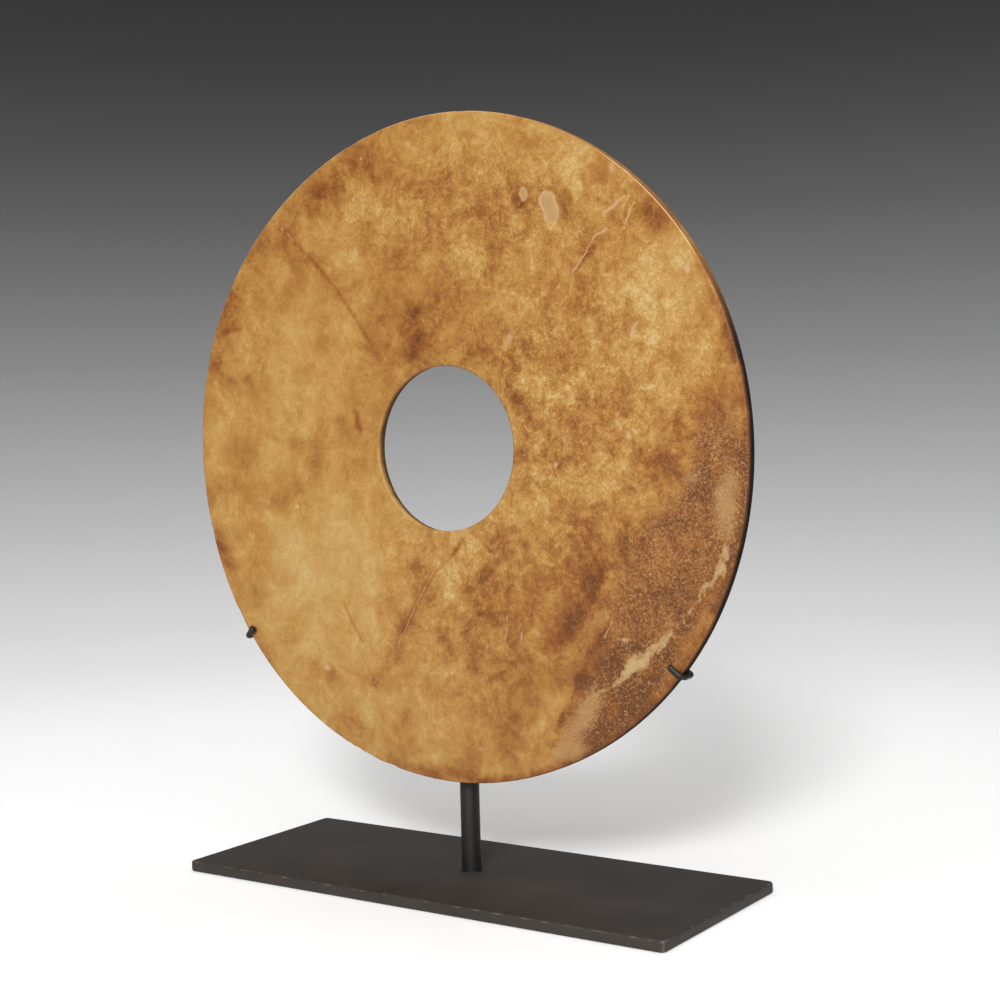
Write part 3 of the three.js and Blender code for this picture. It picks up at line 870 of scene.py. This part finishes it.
    rough = calculate(tree, "MULTIPLY_ADD", frost, 0.2, settings["roughness"])
    rough = calculate(tree, "MULTIPLY_ADD", chalkMask, 0.2, rough)
    rough = calculate(tree, "MULTIPLY_ADD", fineOffset, 0.25, rough)
    rough = calculate(tree, "MULTIPLY_ADD", sideways, 0.45, rough)
    tree.links.new(rough, shader.inputs["Roughness"])
    relief = calculate(tree, "MULTIPLY", crystals, calculate(tree, "MULTIPLY_ADD", frost, 1.2, 0.3))
    bump = addNode(tree, "ShaderNodeBump", {"Strength": 0.6, "Distance": 0.12 * mm, "Height": relief})
    tree.links.new(bump.outputs["Normal"], shader.inputs["Normal"])
    return stone


disc.data.materials.append(makeStone(stoneSettings))
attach(disc, "root")
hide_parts("bi_disc")
print("stone made")


# ---- blackened steel

steelSettings = {
    "foot": {
        "dark": (36, 31, 27),
        "light": (56, 48, 41),
        "bare": (112, 100, 86),
        "roughness": 0.6,
        "cloudSize": 30.0,
    },
    "wire": {
        "dark": (15, 15, 12),
        "light": (28, 26, 22),
        "bare": (96, 88, 76),
        "roughness": 0.5,
        "cloudSize": 7.0,
    },
}


def makeSteel(name, settings, rubbed):
    steel, tree, shader = newMaterial(name)
    place = placeFrom(tree, (0, 0, 0))
    clouds = useEffect(tree, mottling, place, Size=settings["cloudSize"], Contrast=1.4).outputs["Tone"]
    base = mixColour(tree, clouds, colour(*settings["dark"]), colour(*settings["light"]))
    dust = useEffect(tree, specks, place, Size=1.1, Amount=0.27).outputs["Specks"]
    base = mixColour(tree, calculate(tree, "MULTIPLY", dust, 0.25), base, colour(*settings["bare"]))
    # worn through on the outer edges, in broken stretches
    normal = addNode(tree, "ShaderNodeNewGeometry", {}).outputs["Normal"]
    lengths = addNode(tree, "ShaderNodeVectorMath", {0: normal}, operation="ABSOLUTE").outputs[0]
    sides = addNode(tree, "ShaderNodeSeparateXYZ", {"Vector": lengths})
    widest = calculate(tree, "MAXIMUM", sides.outputs["X"], sides.outputs["Y"])
    widest = calculate(tree, "MAXIMUM", widest, sides.outputs["Z"])
    edge = remap(tree, widest, 0.98, 0.85)
    broken = useEffect(tree, specks, place, Size=5.0, Amount=0.5).outputs["Specks"]
    edgeWearAndHighlight = calculate(tree, "MULTIPLY", calculate(tree, "MULTIPLY", edge, broken), rubbed)
    base = mixColour(tree, edgeWearAndHighlight, base, colour(*settings["bare"]))
    tree.links.new(base, shader.inputs["Base Color"])
    shader.inputs["Metallic"].default_value = 0.25
    fine = cloudNoise(tree, place, 0.6, 2.0)
    rough = calculate(tree, "MULTIPLY_ADD", calculate(tree, "SUBTRACT", clouds, 0.5), 0.16, settings["roughness"])
    rough = calculate(tree, "MULTIPLY_ADD", calculate(tree, "SUBTRACT", fine, 0.5), 0.1, rough)
    tree.links.new(rough, shader.inputs["Roughness"])
    bump = addNode(tree, "ShaderNodeBump", {"Strength": 0.3, "Distance": 0.03 * mm, "Height": fine})
    tree.links.new(bump.outputs["Normal"], shader.inputs["Normal"])
    return steel


footSteel = makeSteel("blackened flat bar", steelSettings["foot"], 0.5)
wireSteel = makeSteel("blackened wire", steelSettings["wire"], 0.0)


# ---- the foot

footLow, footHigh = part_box("base_plate")
postLow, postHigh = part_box("post_tube")
spineLow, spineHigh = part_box("spine_rod")
postX = (postLow.x + postHigh.x) / 2
postY = (postLow.y + postHigh.y) / 2
postRadius = (postHigh.x - postLow.x) / 2
spineRadius = (spineHigh.x - spineLow.x) / 2

footSettings = {
    "cornerRadius": 2.5 * mm,
    "edgeRounding": 0.9 * mm,
    "seatGap": 0.3 * mm,
}


def isUpright(edge, places):
    first, second = (places[index] for index in edge.vertices)
    return abs(first[2] - second[2]) > 1 * mm


def buildFoot(settings):
    startPiece()
    size = footHigh - footLow
    middle = (footHigh + footLow) / 2
    bpy.ops.mesh.primitive_cube_add(size=1, location=middle)
    foot = bpy.context.object
    foot.scale = size
    settlePiece(foot, "foot_plate")
    # the four upright edges first, then both faces' outlines
    bpy.ops.object.mode_set(mode="EDIT")
    bpy.ops.mesh.select_mode(type="EDGE")
    bpy.ops.mesh.select_all(action="DESELECT")
    bpy.ops.object.mode_set(mode="OBJECT")
    places = readPlaces(foot)
    for edge in foot.data.edges:
        edge.select = isUpright(edge, places)
    bpy.ops.object.mode_set(mode="EDIT")
    bpy.ops.mesh.bevel(offset=settings["cornerRadius"], segments=6)
    bpy.ops.object.mode_set(mode="OBJECT")
    places = readPlaces(foot)
    for edge in foot.data.edges:
        edge.select = not isUpright(edge, places)
    bpy.ops.object.mode_set(mode="EDIT")
    bpy.ops.mesh.bevel(offset=settings["edgeRounding"], segments=4)
    bpy.ops.object.mode_set(mode="OBJECT")
    # the post's seat is drilled down to just under the post
    seatDepth = footHigh.z - postLow.z + settings["seatGap"]
    bpy.ops.object.select_all(action="DESELECT")
    bpy.ops.mesh.primitive_cylinder_add(
        vertices=64,
        radius=postRadius + settings["seatGap"],
        depth=2 * seatDepth,
        location=(postX, postY, footHigh.z),
    )
    drill = bpy.context.object
    bpy.ops.object.select_all(action="DESELECT")
    bpy.context.view_layer.objects.active = foot
    foot.select_set(True)
    bpy.ops.object.modifier_add(type="BOOLEAN")
    cut = foot.modifiers[-1]
    cut.object = drill
    cut.operation = "DIFFERENCE"
    bpy.ops.object.modifier_apply(modifier=cut.name)
    bpy.data.objects.remove(drill)
    smoothPiece(35)
    return foot


foot = buildFoot(footSettings)
keepWithin(foot, footLow, footHigh)
foot.data.materials.append(footSteel)
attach(foot, "root")
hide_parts("base_plate")
print("foot modelled")


# ---- post and spine

postSettings = {
    "sides": 64,
    "chamfer": 0.5 * mm,
    "boreGap": 0.3 * mm,
    "boreDepth": 36 * mm,
    "filletRadius": 0.7 * mm,
}


def selectRing(piece, height, radius):
    # the ring of vertices at one height and one distance from the post's axis
    def onRing(place):
        distance = math.hypot(place.x - postX, place.y - postY)
        return abs(place.z - height) < 0.05 * mm and abs(distance - radius) < 0.05 * mm
    selectWhere(piece, onRing)


def buildRod(name, low, high, sides):
    startPiece()
    radius = (high.x - low.x) / 2
    bpy.ops.mesh.primitive_cylinder_add(
        vertices=sides,
        radius=radius,
        depth=high.z - low.z,
        location=(low + high) / 2,
    )
    rod = bpy.context.object
    settlePiece(rod, name)
    return rod


def buildPost(settings):
    post = buildRod("post", postLow, postHigh, settings["sides"])
    boreRadius = spineRadius + settings["boreGap"]
    bpy.ops.object.mode_set(mode="EDIT")
    selectRing(post, postHigh.z, postRadius)
    bpy.ops.mesh.inset(thickness=postRadius - boreRadius)
    bpy.ops.mesh.extrude_region_move(TRANSFORM_OT_translate={"value": (0, 0, -settings["boreDepth"])})
    selectRing(post, postHigh.z, postRadius)
    bpy.ops.mesh.bevel(offset=settings["chamfer"], segments=3)
    closeUp()
    smoothPiece(35)
    return post


def buildSpine(settings):
    spine = buildRod("spine", spineLow, spineHigh, settings["sides"])
    bpy.ops.object.mode_set(mode="EDIT")
    selectRing(spine, spineHigh.z, spineRadius)
    bpy.ops.mesh.bevel(offset=0.35 * spineRadius, segments=4)
    closeUp()
    smoothPiece(35)
    return spine


def buildFillet(settings):
    # a thin braze ring where the post meets the foot
    startPiece()
    bpy.ops.mesh.primitive_torus_add(
        major_segments=72,
        minor_segments=14,
        major_radius=postRadius + 0.15 * mm,
        minor_radius=settings["filletRadius"],
        location=(postX, postY, footHigh.z - 0.15 * mm),
    )
    fillet = bpy.context.object
    fillet.scale = (1, 1, 0.7)
    settlePiece(fillet, "post_braze")
    displacePiece(fillet, np.ones(len(fillet.data.vertices)), 0.25 * mm, "NORMAL", cloudTexture("braze", 0.003))
    smoothPiece(60)
    return fillet


post = buildPost(postSettings)
spine = buildSpine(postSettings)
fillet = buildFillet(postSettings)
for piece, node in ((post, "post_tube"), (spine, "spine_rod"), (fillet, None)):
    piece.data.materials.append(wireSteel)
    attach(piece, "root")
    if node:
        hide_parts(node)
print("post and spine modelled")


# ---- the cradle's wire arms

wireSettings = {
    "radius": 1.2 * mm,
    "sides": 24,
    "bendRadius": 2.5 * mm,
    "bendSteps": 10,
    "stretchSteps": 6,
}
hooks = {
    "right_arm": {
        "side": 1,
        "angle": -38.6,  # where it crosses the rim, seen from the disc's centre
        "standOff": 0.4 * mm,
        "frontDrop": 0.2 * mm,
        "leg": [(3.5 * mm, 2.4 * mm), (6.3 * mm, 4.8 * mm)],  # inwards, up
        "tipSwell": 1.0,
    },
    "left_arm": {
        "side": -1,
        "angle": -143.9,
        "standOff": 0.3 * mm,
        "frontDrop": 0.8 * mm,
        "leg": [(5.1 * mm, 4.7 * mm)],
        "tipSwell": 1.55,
    },
}


def hookCorners(node, hook):
    radius = wireSettings["radius"]
    low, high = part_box(node)
    armY = high.y - radius
    legY = low.y + radius
    armsZ = spineHigh.z - 4 * mm
    angle = math.radians(hook["angle"])
    outwards = discRadius + rimWave(angle) + hook["standOff"] + radius
    crossingX = discCentre.x + outwards * math.cos(angle)
    crossingZ = discCentre.z + outwards * math.sin(angle)
    frontZ = crossingZ - hook["frontDrop"]
    corners = [
        Vector((hook["side"] * (0.3 * mm + radius / 2), armY, armsZ)),
        Vector((crossingX, armY, crossingZ)),
        Vector((crossingX, legY, frontZ)),
    ]
    for inwards, up in hook["leg"]:
        corners.append(Vector((crossingX - hook["side"] * inwards, legY, frontZ + up)))
    return corners


def extrudeBy(offset):
    bpy.ops.mesh.extrude_region_move(TRANSFORM_OT_translate={"value": offset})


def bendWire(name, corners, hook):
    # a ring the size of the wire is drawn out along each stretch and spun round each bend
    radius = wireSettings["radius"]
    bendRadius = wireSettings["bendRadius"]
    heading = (corners[1] - corners[0]).normalized()
    startPiece()
    bpy.ops.mesh.primitive_circle_add(
        vertices=wireSettings["sides"],
        radius=radius,
        fill_type="NOTHING",
        location=corners[0],
        rotation=heading.to_track_quat("Z", "Y").to_euler(),
    )
    wire = bpy.context.object
    settlePiece(wire, name)
    bpy.ops.object.mode_set(mode="EDIT")
    bpy.ops.mesh.select_all(action="SELECT")
    bpy.ops.mesh.edge_face_add()
    bpy.ops.mesh.select_all(action="SELECT")
    here = corners[0]
    for index in range(1, len(corners) - 1):
        comingIn = (corners[index] - corners[index - 1]).normalized()
        goingOut = (corners[index + 1] - corners[index]).normalized()
        turn = comingIn.angle(goingOut)
        setBack = bendRadius * math.tan(turn / 2)
        bendStart = corners[index] - comingIn * setBack
        extrudeBy(bendStart - here)
        axis = comingIn.cross(goingOut).normalized()
        bendCentre = bendStart + axis.cross(comingIn) * bendRadius
        bpy.ops.mesh.spin(steps=wireSettings["bendSteps"], angle=-turn, center=bendCentre, axis=axis)
        here = corners[index] + goingOut * setBack
    lastStretch = corners[-1] - here
    ahead = lastStretch.normalized()
    # the tip: a slight swell, then a rounded end
    swell = hook["tipSwell"]
    tipRadius = radius * swell
    straight = lastStretch.length - 0.8 * radius
    for step in range(1, 5):
        extrudeBy(ahead * straight / 4)
        growth = swell ** 0.25
        here = here + ahead * straight / 4
        bpy.ops.transform.resize(value=(growth, growth, growth), center_override=here)
    before = 1.0
    for step in range(1, 5):
        slope = math.radians(90 * step / 4.4)
        extrudeBy(ahead * 0.8 * radius * (math.sin(slope) - math.sin(math.radians(90 * (step - 1) / 4.4))))
        here = here + ahead * 0.8 * radius * (math.sin(slope) - math.sin(math.radians(90 * (step - 1) / 4.4)))
        share = math.cos(slope)
        bpy.ops.transform.resize(value=(share / before,) * 3, center_override=here)
        before = share
    closeUp()
    smoothPiece(50)
    return wire


for node, hook in hooks.items():
    wire = bendWire("wire_" + node, hookCorners(node, hook), hook)
    wire.data.materials.append(wireSteel)
    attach(wire, "root")
    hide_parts(node)
print("wire arms modelled")


# ---- floor, backdrop and light

studioSettings = {
    "floorRadius": 0.8,
    "coveRadius": 1.8,
    "wallHeight": 0.6,
    "keyPower": 62,
    "keySize": 0.55,
    "keyPlace": (0.86, -1.94, 1.32),
    "ceiling": 1.25,
    "sweepLength": 3.6,
    "greys": [  # the paper's painted shade along the sweep, from under the object to the top of the wall
        (0.0, 240),
        (0.14, 240),
        (0.25, 225),
        (0.33, 208),
        (0.42, 184),
        (0.5, 162),
        (0.58, 138),
        (0.66, 116),
        (0.74, 93),
        (0.82, 74),
        (0.89, 60),
        (0.96, 50),
    ],
}


def buildStudio(settings):
    # a round pale floor that curves up into a grey wall
    startPiece()
    floorRadius = settings["floorRadius"]
    coveRadius = settings["coveRadius"]
    bpy.ops.mesh.primitive_circle_add(vertices=96, radius=floorRadius, fill_type="NGON", location=(0, 0, -0.1 * mm))
    studio = bpy.context.object
    settlePiece(studio, "studio")
    bpy.ops.object.mode_set(mode="EDIT")
    bpy.ops.mesh.select_all(action="SELECT")
    bpy.ops.mesh.delete(type="ONLY_FACE")
    bpy.ops.mesh.select_all(action="SELECT")
    widthBefore = floorRadius
    heightBefore = 0.0
    for step in range(1, 17):
        slope = math.radians(90 * step / 16)
        width = floorRadius + coveRadius * math.sin(slope)
        height = coveRadius * (1 - math.cos(slope))
        extrudeBy((0, 0, height - heightBefore))
        grow = width / widthBefore
        bpy.ops.transform.resize(value=(grow, grow, 1), center_override=(0, 0, height))
        widthBefore = width
        heightBefore = height
    extrudeBy((0, 0, settings["wallHeight"]))
    selectWhere(studio, lambda place: place.z < 1 * mm)
    bpy.ops.mesh.edge_face_add()
    smoothPiece(60)
    return studio


def paintStudio(settings):
    # white paper under the object, with painted shade grading it to dark grey up the wall
    paper, tree, shader = newMaterial("studio paper")
    place = placeFrom(tree, (0, 0, 0), 0.0, (1, 1, 1))
    parts = addNode(tree, "ShaderNodeSeparateXYZ", {"Vector": place})
    flat = addNode(tree, "ShaderNodeCombineXYZ", {"X": parts.outputs["X"], "Y": parts.outputs["Y"]})
    radius = addNode(tree, "ShaderNodeVectorMath", {0: flat.outputs[0]}, operation="LENGTH").outputs["Value"]
    sweep = calculate(tree, "ADD", radius, parts.outputs["Z"])
    grain = cloudNoise(tree, place, 0.004, 2.0)
    share = calculate(tree, "MULTIPLY_ADD", grain, 0.01, calculate(tree, "DIVIDE", sweep, settings["sweepLength"]))
    ramp = addNode(tree, "ShaderNodeValToRGB", {"Fac": share})
    steps = ramp.color_ramp.elements
    while len(steps) < len(settings["greys"]):
        steps.new(0.5)
    for step, (spot, grey) in zip(steps, settings["greys"]):
        step.position = spot
        step.color = colour(grey, grey, grey)
    tree.links.new(ramp.outputs["Color"], shader.inputs["Base Color"])
    shader.inputs["Roughness"].default_value = 0.9
    shader.inputs["Specular IOR Level"].default_value = 0.1
    return paper


def addSoftbox(name, place, size, power, target):
    aim = (Vector(target) - Vector(place)).to_track_quat("-Z", "Y").to_euler()
    bpy.ops.object.light_add(type="AREA", location=place, rotation=aim)
    lamp = bpy.context.object
    lamp.name = name
    lamp.data.shape = "SQUARE"
    lamp.data.size = size
    lamp.data.energy = power
    lamp.visible_camera = False


studio = buildStudio(studioSettings)
studio.data.materials.append(paintStudio(studioSettings))
addSoftbox("key", studioSettings["keyPlace"], studioSettings["keySize"], studioSettings["keyPower"], discCentre)
world = bpy.data.worlds.new("ceiling")
world.use_nodes = True
world.node_tree.nodes["Background"].inputs["Color"].default_value = (1, 1, 1, 1)
world.node_tree.nodes["Background"].inputs["Strength"].default_value = studioSettings["ceiling"]
bpy.context.scene.world = world
print("studio lit")
